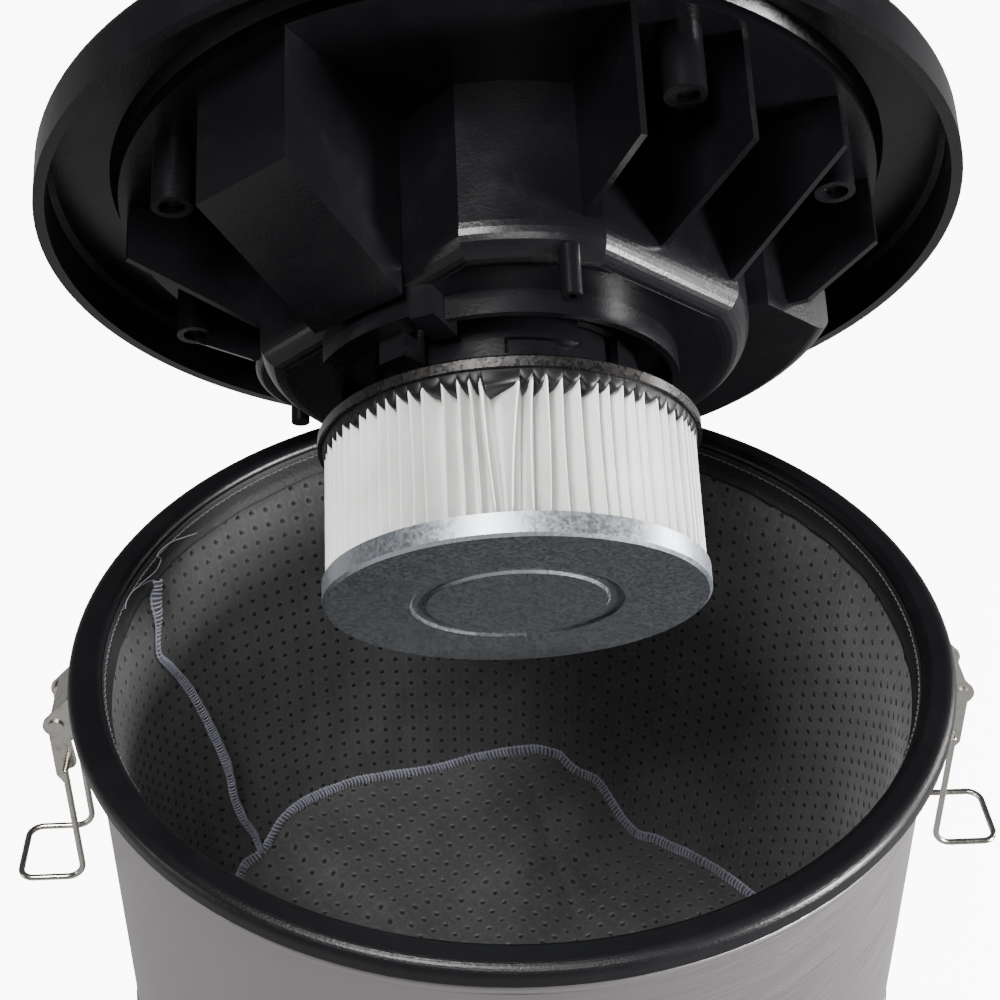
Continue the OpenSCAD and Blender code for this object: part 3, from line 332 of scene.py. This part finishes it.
def make_materials():
    return {
        "rubber": rubber("rubber", (0.012, 0.012, 0.013), 0.62),
        "drum_steel": sheet_metal("drum_steel", (0.50, 0.465, 0.47), 0.36, tint=(0.42, 0.39, 0.395)),
        "black_plastic": plastic("black_plastic", (0.0045, 0.0045, 0.0056), 0.27),
        "ring_rubber": rubber("ring_rubber", (0.0045, 0.0045, 0.0055), 0.34),
        "plated_steel": wire_metal("plated_steel", (0.66, 0.63, 0.58), 0.2),
        "dark_screws": sheet_metal("dark_screws", (0.06, 0.06, 0.06), 0.4, tint=(0.09, 0.09, 0.09)),
        "motor_casting": sheet_metal("motor_casting", (0.58, 0.58, 0.60), 0.42, tint=(0.45, 0.45, 0.47)),
        "lamination_steel": sheet_metal("lamination_steel", (0.25, 0.22, 0.2), 0.5, (1, 1, 400)),
        "carbon_holders": plastic("carbon_holders", (0.035, 0.035, 0.035), 0.5),
        "bright_steel": sheet_metal("bright_steel", (0.62, 0.62, 0.64), 0.22),
        "copper": sheet_metal("copper", (0.62, 0.32, 0.18), 0.3, tint=(0.45, 0.22, 0.12)),
        # painted reflection: the top ring's zinc is coloured dark for the black lid that it mirrors
        "zinc_painted_dark": sheet_metal("zinc_painted_dark", (0.10, 0.095, 0.092), 0.3, spangle=ZINC_SPANGLE,
                                 tint=(0.17, 0.165, 0.16)),
        "zinc_sheet": sheet_metal("zinc_sheet", (0.56, 0.60, 0.65), 0.36, spangle=ZINC_SPANGLE,
                                  tint=(0.72, 0.77, 0.82)),
        "potting_resin": poured_resin(),
        "pleat_medium": filter_paper(),
        "red_plastic": plastic("red_plastic", (0.33, 0.02, 0.015), 0.25, 0.00004, 0.15),
        "grey_felt": needle_felt(),
    }


def dress_nodes(materials):
    for part in frame["record"]["subparts"]:
        slot = OWN_LOOKS.get(part["node"], part["material_slot"])
        mesh = NODES[part["node"]].data
        mesh.materials.clear()
        mesh.materials.append(materials[slot])


# ---------- mesh helpers ----------

def lofted(name, rows, closed=False, uvs=None):
    """A mesh through rows of points; closed joins each row's ends."""
    across = len(rows[0])
    verts = [p for row in rows for p in row]
    faces = []
    for j in range(len(rows) - 1):
        for i in range(across if closed else across - 1):
            k = (i + 1) % across
            faces.append((j * across + i, j * across + k, (j + 1) * across + k, (j + 1) * across + i))
    mesh = bpy.data.meshes.new(name)
    mesh.from_pydata([tuple(v) for v in verts], [], faces)
    if uvs:
        layer = mesh.uv_layers.new(name="UVMap")
        flat = [uv for row in uvs for uv in row]
        for loop in mesh.loops:
            layer.data[loop.index].uv = flat[loop.vertex_index]
    mesh.polygons.foreach_set("use_smooth", [True] * len(mesh.polygons))
    piece = bpy.data.objects.new(name, mesh)
    bpy.context.collection.objects.link(piece)
    return piece


def finish_piece(piece, material, body, slot, *replaced):
    """Gives a piece its material and body, and hides the solids that it stands for. The slot argument is not
    used.
    """
    piece.data.materials.append(material)
    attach(piece, body)
    if replaced:
        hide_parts(*replaced)


def polar(r, degrees, z):
    a = math.radians(degrees)
    return Vector((r * math.cos(a), r * math.sin(a), z))


def smooth_between(points, x):
    """Value at x of a line through (x, value) points, eased from each to the next."""
    if x <= points[0][0]:
        return points[0][1]
    for (x0, v0), (x1, v1) in zip(points, points[1:]):
        if x <= x1:
            t = (x - x0) / (x1 - x0)
            t = t * t * (3 - 2 * t)
            return v0 + (v1 - v0) * t
    return points[-1][1]


def bend_through(points, steps):
    """Catmull-Rom points through the given ones, steps to each stretch."""
    ends = [points[0] * 2 - points[1], *points, points[-1] * 2 - points[-2]]
    route = []
    for a, b, c, d in zip(ends, ends[1:], ends[2:], ends[3:]):
        for i in range(steps):
            t = i / steps
            route.append(((b * 2) + (c - a) * t + (a * 2 - b * 5 + c * 4 - d) * t * t
                          + (b * 3 - a - c * 3 + d) * t * t * t) / 2)
    route.append(points[-1])
    return route


# ---------- the cloth bag ----------

MIDDLE_DEPTH = 0.185    # of the bottom's middle, if it were taut
HEM_DEPTH = 12.6 * MM   # of the wall's upper edge, behind the hem
SLANT = 0.22            # how far the dimples' rows climb along the wall
BOTTOM_WAY = (0.82, 0.57)   # the way that they run on the bottom
# The bottom seam, as (azimuth, depth below the rim, radius). The bag hangs unevenly.
BOTTOM_SEAM = [
    (-180, 0.1900, 0.1285), (-120, 0.1950, 0.1280), (-60, 0.1980, 0.1270), (0, 0.2000, 0.1250),
    (30, 0.1990, 0.1200), (44, 0.1975, 0.1155), (48, 0.1990, 0.1150), (53, 0.1995, 0.1150),
    (57, 0.2025, 0.1150), (59.6, 0.2010, 0.1165), (62.4, 0.1985, 0.1190), (65.8, 0.1920, 0.1220),
    (68.9, 0.1872, 0.1250), (72.3, 0.1850, 0.1265), (75.4, 0.1820, 0.1270), (78.6, 0.1770, 0.1275),
    (81.8, 0.1748, 0.1278), (86.8, 0.1765, 0.1278), (92.0, 0.1796, 0.1278), (100.2, 0.1818, 0.1278),
    (108.6, 0.1820, 0.1278), (116.2, 0.1794, 0.1278), (121.8, 0.1779, 0.1278), (126.5, 0.1762, 0.1278),
    (131.3, 0.1740, 0.1278), (135.0, 0.1732, 0.1278), (138.0, 0.1752, 0.1278), (140.5, 0.1800, 0.1278),
    (144.9, 0.1812, 0.1278), (160, 0.1870, 0.1282), (180, 0.1900, 0.1285)]
# The side seam, as (azimuth, depth below the rim, width in mm). Its top end is pressed flat
# under the hem.
SIDE_SEAM = [
    (158.3, 0.0135, 3.6), (159.2, 0.0165, 5.0), (160.3, 0.0200, 5.2), (160.9, 0.0244, 3.2),
    (161.9, 0.0294, 1.9), (162.9, 0.0345, 1.9), (163.0, 0.0398, 2.4), (160.4, 0.0501, 2.7),
    (157.0, 0.0664, 3.1), (154.0, 0.0858, 3.5), (152.1, 0.0999, 3.7), (150.3, 0.1139, 3.6),
    (149.2, 0.1267, 3.3), (148.7, 0.1416, 3.2), (147.1, 0.1561, 3.2), (145.1, 0.1678, 2.7),
    (144.2, 0.1790, 2.4)]
# Creases of the wall, as (azimuth, half width in degrees, outward throw in mm, depth where it starts).
CREASES = [
    (77.0, 1.5, 3.6, 0.085), (73.2, 2.6, -2.6, 0.115), (84.0, 4.5, -1.8, 0.10), (69.0, 2.0, 1.8, 0.15),
    (104.0, 7.0, -2.0, 0.07), (121.0, 5.0, 1.6, 0.10), (42.0, 6.0, -1.8, 0.09), (12.0, 8.0, 2.0, 0.08)]
# The wall's radius, as (depth below the rim, radius), before its folds.
WALL_LINE = [(HEM_DEPTH, HEM_R - 0.8 * MM), (0.034, BAG_R + 0.4 * MM), (0.1, BAG_R - 1.8 * MM),
             (0.2, BAG_R - 3 * MM)]


def line_between(points, x, column=1):
    """Value at x of a line through points, with its corners eased over a couple of units."""
    def at(x):
        if x <= points[0][0]:
            return points[0][column]
        for a, b in zip(points, points[1:]):
            if x <= b[0]:
                return a[column] + (b[column] - a[column]) * (x - a[0]) / (b[0] - a[0])
        return points[-1][column]
    return sum(at(x + step) for step in (-1.2, -0.6, 0, 0.6, 1.2)) / 5


def held(share):
    """A share held between 0 and 1."""
    return min(1.0, max(0.0, share))


def side_seam_azimuth(depth):
    return smooth_between([(d, a) for a, d, _ in SIDE_SEAM], depth)


def bag_radius(azimuth, depth):
    """The felt starts inside the ring's leg, narrows to the wall, and hangs in slack folds lower down."""
    a = math.radians(azimuth)
    seam, seam_r = line_between(BOTTOM_SEAM, azimuth), line_between(BOTTOM_SEAM, azimuth, 2)
    r = smooth_between(WALL_LINE, depth)
    low = held((depth - 0.03) / 0.12)
    near_seam = held((depth - 0.09) / (seam - 0.09))
    near_seam *= near_seam
    folds = 3.0 * noise.noise(Vector((2.1 * math.cos(a), 2.1 * math.sin(a), depth * 9)))
    folds += 1.6 * noise.noise(Vector((6.5 * math.cos(a) + 7, 6.5 * math.sin(a), depth * 13)))
    folds += 0.5 * noise.noise(Vector((15 * math.cos(a) + 3, 15 * math.sin(a), depth * 40)))
    for place, half, throw, start in CREASES:
        grown = held((depth - start) / 0.05)
        folds += throw * grown * math.exp(-abs((azimuth - place) / half) ** 1.4)
    from_seam = azimuth - side_seam_azimuth(depth)
    folds += 2.4 * low * math.exp(-((from_seam - 3.6) / 2.0) ** 2)
    r += low * folds * MM * (1 - 0.45 * near_seam)
    r += (seam_r + 1.5 * MM - smooth_between(WALL_LINE, seam)) * near_seam
    return min(r - 1.6 * MM * math.exp(-(from_seam / 2.2) ** 2) * low, HEM_R - 0.8 * MM)


def bag_bottom(x, y, share, edge_z):
    """Height of the bag's bottom: it hangs from the seam and rests on nothing, with crossing creases."""
    sag = (1 - share * share) * 9 * MM
    crease = noise.noise(Vector((x * 20, y * 20, 3.3))) * 4.5 * MM
    fold = math.exp(-abs((x - 0.017 + (y - 0.1) * 0.25) / 0.004) ** 1.5)
    crease -= 4 * MM * fold * min(1.0, share * 1.6)
    crease += 4 * MM * math.exp(-((x - 0.036 + (y - 0.1) * 0.3) / 0.011) ** 2)
    crease += 2.5 * MM * math.exp(-abs((y - 0.066 - x * 0.35) / 0.007) ** 1.4)
    return edge_z - sag + crease * (1 - share ** 6) * 0.9


def make_bag(materials):
    """One sheet that starts and ends at the side seam, and a round bottom of the same felt, whose
    rows of dimples run another way."""
    around, down, rings = 560, 84, 64
    rows, uvs = [], []
    for j in range(down + 1):
        row, flat = [], []
        for i in range(around + 1):
            start = side_seam_azimuth(HEM_DEPTH + (SIDE_SEAM[-1][1] - HEM_DEPTH) * j / down)
            turn = start - 360 * i / around
            azimuth = turn if turn > -180 else turn + 360
            seam = line_between(BOTTOM_SEAM, azimuth)
            depth = HEM_DEPTH + (seam - HEM_DEPTH) * j / down
            row.append(polar(bag_radius(azimuth, depth), azimuth, RIM - depth))
            across = math.radians(turn) * BAG_R
            flat.append((across, depth + SLANT * across))
        rows.append(row)
        uvs.append(flat)
    middle_z = RIM - MIDDLE_DEPTH
    for j in range(1, rings + 1):
        share = 1 - j / rings
        row, flat = [], []
        for edge in rows[down]:
            x, y = edge.x * share, edge.y * share
            edge_z = middle_z + (edge.z - middle_z) * share ** 1.5
            z = max(BAG_LOW.z + 0.5 * MM, bag_bottom(x, y, share, edge_z))
            row.append(Vector((x, y, z)))
            flat.append((BOTTOM_WAY[0] * x + BOTTOM_WAY[1] * y, BOTTOM_WAY[0] * y - BOTTOM_WAY[1] * x))
        rows.append(row)
        uvs.append(flat)
    bag = lofted("bag_cloth", rows, uvs=uvs)
    finish_piece(bag, materials["grey_felt"], "drum", "grey_felt", "filter_bag")


def from_wall(p):
    """The way a seam stands off the bag's wall at p."""
    return Vector((-p.x, -p.y, 0.35 * math.hypot(p.x, p.y))).normalized()


def seam_sections(route, widths):
    """Along the route: each point with its ahead, across and up directions, width, height and lean."""
    for i, p in enumerate(route):
        ahead = (route[min(i + 1, len(route) - 1)] - route[max(i - 1, 0)]).normalized()
        up = from_wall(p)
        up = (up - ahead * up.dot(ahead)).normalized()
        width = widths(i / (len(route) - 1)) * MM * (1 + 0.12 * noise.noise(p * 130))
        lean = 0.5 * noise.noise(p * 55 + Vector((9, 0, 0)))
        yield p, ahead, ahead.cross(up), up, width, 0.55 * min(width, 3.6 * MM), lean


# Across and up, as shares of a seam's width and height: its felt edge, and the thread over it.
EDGE_PROFILE = [(-0.5, 0.0), (-0.46, 0.4), (-0.22, 0.88), (0.0, 1.0), (0.22, 0.9), (0.46, 0.42), (0.5, 0.0)]
LOOP_PROFILE = [(-0.58, 0.0), (-0.5, 0.52), (-0.22, 1.02), (0.04, 1.16), (0.28, 1.0), (0.5, 0.5), (0.56, 0.02)]


def overlock(name, route, widths, material):
    """An overlocked seam's felt edge: a soft ridge along route that stands inward."""
    rows = [[p + side * (x + h * lean * 0.5) * width + up * h * height for x, h in EDGE_PROFILE]
            for p, _, side, up, width, height, lean in seam_sections(route, widths)]
    finish_piece(lofted(name, rows), material, "drum", "grey_felt")


def thread_loops(name, thickness):
    """A thread object whose splines are added loop by loop."""
    curve = bpy.data.curves.new(name, "CURVE")
    curve.dimensions = "3D"
    curve.bevel_depth, curve.bevel_resolution = thickness, 1
    piece = bpy.data.objects.new(name, curve)
    bpy.context.collection.objects.link(piece)
    return piece


def add_loop(piece, points):
    spline = piece.data.splines.new("POLY")
    spline.points.add(len(points) - 1)
    for point, q in zip(spline.points, points):
        point.co = (*q, 1)


def stitches(name, route, widths, pitch, thickness, material):
    """Slanting loops of thread over the ridge, with a chain of thread along its foot."""
    piece = thread_loops(name, thickness)
    due = run = 0.0
    last = route[0]
    foot = []
    for p, ahead, side, up, width, height, lean in seam_sections(route, widths):
        run += (p - last).length
        last = p
        if run < due:
            continue
        skew = RNG.uniform(0.25, 0.75) * pitch
        add_loop(piece, [p + side * (x + h * lean * 0.5) * width + up * h * height * 1.06 + ahead * skew * x
                         for x, h in LOOP_PROFILE])
        foot.append(p + side * (0.5 + 0.05 * (-1) ** len(foot)) * width + up * 0.3 * height)
        due = run + pitch * RNG.uniform(0.8, 1.2)
    add_loop(piece, foot)
    finish_piece(piece, material, "drum", "grey_felt")


SEAM_THREAD, TAIL_THREAD, HEM_THREAD = 0.36 * MM, 0.16 * MM, 0.22 * MM     # bevel of each thread
BOTTOM_SEAM_WIDTH = 3.9
# Loose ends of thread at the side seam's top, as (azimuth, depth below the rim in mm).
LOOSE_ENDS = [
    [(146.4, 11.0), (149.2, 8.4), (152.5, 5.4), (155.2, 4.0), (156.9, 4.6), (156.0, 7.6), (157.6, 9.8),
     (160.5, 8.6), (163.5, 6.4)],
    [(158.0, 13.4), (161.2, 9.4), (165.1, 5.6), (168.0, 4.6), (169.2, 6.6)]]


def make_seams():
    lilac = thread_material("overlock_thread", (0.23, 0.232, 0.29))
    edge = thread_material("overlock_edge", (0.055, 0.054, 0.068))

    def off_wall(azimuth, depth, out):
        return polar(bag_radius(azimuth, depth) - out, azimuth, RIM - depth)

    side = bend_through([off_wall(a, d, 0.5 * MM) for a, d, _ in SIDE_SEAM], 48)
    steps = len(SIDE_SEAM) - 1

    def side_width(share):
        return smooth_between([(k / steps, w) for k, (_, _, w) in enumerate(SIDE_SEAM)], share)

    overlock("side_seam", side, side_width, edge)
    stitches("side_seam_thread", side, side_width, 1.5 * MM, SEAM_THREAD, lilac)
    ring = []
    for i in range(2400):
        azimuth = -180 + i * 0.15
        depth = line_between(BOTTOM_SEAM, azimuth)
        ring.append(off_wall(azimuth, depth - 0.6 * MM, 0.6 * MM))
    ring.append(ring[0])
    overlock("bottom_seam", ring, lambda share: BOTTOM_SEAM_WIDTH, edge)
    stitches("bottom_seam_thread", ring, lambda share: BOTTOM_SEAM_WIDTH, 1.45 * MM, SEAM_THREAD, lilac)
    ends = thread_loops("loose_threads", TAIL_THREAD)
    for tail in LOOSE_ENDS:
        add_loop(ends, bend_through([polar(HEM_R - 1.15 * MM, a, RIM - d * MM) for a, d in tail], 10))
    finish_piece(ends, lilac, "drum", "grey_felt")


# The hem band's section, as (inset, depth below the rim), in mm.
HEM_SECTION = [(0.1, 3.4), (0.45, 4.2), (0.5, 7.0), (0.55, 9.6), (0.75, 11.4), (1.5, 12.9), (2.1, 13.7),
               (1.5, 14.1)]
HEM_STITCHES = 300
HEM_STITCH_DEPTH = 5.6 * MM


def make_hem():
    """The black band that is sewn round the bag's mouth, inside the ring's leg."""
    band = plastic("hem_band", (0.0085, 0.0085, 0.0092), 0.62, 0.0003)
    rows = []
    for inset, depth in HEM_SECTION:
        row = []
        for i in range(720):
            a = math.radians(i / 2)
            ruffle = noise.noise(Vector((9 * math.cos(a), 9 * math.sin(a), 0.4))) * 1.1
            ruffle += noise.noise(Vector((60 * math.cos(a), 60 * math.sin(a), 1.7))) * 0.45
            lowered = depth + ruffle * min(1, depth / 12) ** 3
            row.append(polar(HEM_R - inset * MM, i / 2, RIM - lowered * MM))
        rows.append(row)
    finish_piece(lofted("bag_hem", rows, closed=True), band, "drum", "black_plastic")
    piece = thread_loops("hem_stitch", HEM_THREAD)
    pitch = 360 / HEM_STITCHES
    for i in range(HEM_STITCHES):
        start = 360 * i / HEM_STITCHES
        add_loop(piece, [polar(HEM_R - (0.62 + lift) * MM, start + pitch * t * 0.8, RIM - HEM_STITCH_DEPTH)
                         for t, lift in ((0, -0.3), (0.25, 0.2), (0.75, 0.2), (1.0, -0.3))])
    finish_piece(piece, thread_material("hem_thread", (0.10, 0.10, 0.115)), "drum", "black_plastic")


# ---------- the pleated cartridge ----------

CAP_LOW, CAP_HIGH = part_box("filter_bottom_cap")
CAP_R = (CAP_HIGH.x - CAP_LOW.x) / 2
CARTRIDGE_TOP = -74.6 * MM      # along the head's axis, from its skirt's lower edge
CARTRIDGE_LOW = -131.6 * MM
PLEATS = 76
PLEAT_DEPTH = 13 * MM
GAP_AT = -94.0          # azimuth of the widest gap between pleats
# A pleat's rounded fold, as (degrees to the side, inset in mm).
FOLD = [(-0.34, 0.95), (-0.2, 0.22), (0.0, 0.0), (0.2, 0.22), (0.34, 0.95)]
SCALLOP_STEPS = 12
# The poured resin's section, as (inset, level, share of the scallops' drop), in mm.
RESIN_SECTION = [(0.0, -1.6, 0.0), (-0.25, -4.1, 0.0), (0.0, -5.0, 0.5), (0.6, -5.4, 0.85),
                 (1.8, -5.6, 1.0), (6.0, -5.4, 1.0), (16.0, -5.0, 0.6), (19.0, -4.6, 0.0)]


def pleat_angles():
    """Azimuth of each pleat's fold, at uneven steps."""
    steps = [RNG.uniform(0.72, 1.28) for _ in range(PLEATS)]
    total = sum(steps)
    angles, at = [], 0.0
    for step in steps:
        angles.append(at * 360 / total)
        at += step
    return angles


def next_angle(angles, k):
    return angles[(k + 1) % PLEATS] + (360 if k == PLEATS - 1 else 0)


def off_gap(angle):
    return (angle - GAP_AT + 180) % 360 - 180


def opened(angle, height):
    """Pleats spread away from one gap, most at the top."""
    off = off_gap(angle)
    push = 4.6 * math.exp(-abs(off) / 8.0) * height ** 1.2
    return angle + (push if off > 0 else -push)


def make_pleats(materials):
    """The folded paper, as one sheet: each pleat leans and bows a little on its own."""
    angles = pleat_angles()
    low, high = CARTRIDGE_LOW + 1.4 * MM, CARTRIDGE_TOP - 5.0 * MM
    levels = 14
    tops = [RNG.uniform(-0.5, 1.6) * MM for _ in angles]
    leans = [RNG.uniform(-0.9, 0.9) for _ in angles]
    bows = [RNG.uniform(-0.7, 0.7) for _ in angles]
    outer = CAP_R - 1.1 * MM
    rows = []
    for j in range(levels + 1):
        height = j / levels
        row = []
        for k, angle in enumerate(angles):
            after = next_angle(angles, k)
            half = (after - angle) / 2
            tip = opened(angle, height) + leans[k] * (height - 0.3) + bows[k] * math.sin(math.pi * height)
            valley = opened(angle + half, height)
            r = outer - 0.5 * MM * abs(leans[k]) * height
            z = low + (high + tops[k] - low) * height
            broad = 1 + 0.9 * height ** 4
            for turn, inset in FOLD:
                row.append(polar(r - inset * MM, tip + turn * broad, z))
            next_tip = opened(after, height)
            row.append(polar(outer - PLEAT_DEPTH / 2, tip * 0.45 + valley * 0.55, z))
            row.append(polar(outer - PLEAT_DEPTH, valley, z))
            row.append(polar(outer - PLEAT_DEPTH / 2, next_tip * 0.45 + valley * 0.55, z))
        rows.append(row)
    pleats = lofted("pleats", rows, closed=True)
    pleats.matrix_world = IN_LID
    finish_piece(pleats, materials["pleat_medium"], "filter", "pleat_medium", "filter_pleats")
    return angles


def make_potting(materials, angles):
    """Poured resin under the top ring, with a scallop over each pleat."""
    rows = []
    outer = CAP_R - 0.75 * MM
    scallop = [RNG.uniform(0.7, 1.3) for _ in range(PLEATS)]

    def edge(i):
        """Azimuth and drop of the scalloped lower edge at step i."""
        k, step = divmod(i, SCALLOP_STEPS)
        u = step / SCALLOP_STEPS
        angle = opened(angles[k] + (next_angle(angles, k) - angles[k]) * u, 1.0)
        drop = 0.5 + 2.6 * scallop[k] * math.sin(math.pi * u) ** 0.7
        drop += 2.4 * math.exp(-(off_gap(angle) / 4.0) ** 2)
        return angle, drop * MM

    for inset, level, share in RESIN_SECTION:
        row = []
        for i in range(PLEATS * SCALLOP_STEPS):
            angle, drop = edge(i)
            row.append(polar(outer - inset * MM, angle, CARTRIDGE_TOP + level * MM - drop * share))
        rows.append(row)
    resin = lofted("potting", rows, closed=True)
    resin.matrix_world = IN_LID
    finish_piece(resin, materials["potting_resin"], "filter", "potting_resin", "filter_potting")


# ---------- run ----------

make_camera()
make_stage()
MATERIALS = make_materials()
dress_nodes(MATERIALS)
make_bag(MATERIALS)
make_seams()
make_hem()
make_potting(MATERIALS, make_pleats(MATERIALS))
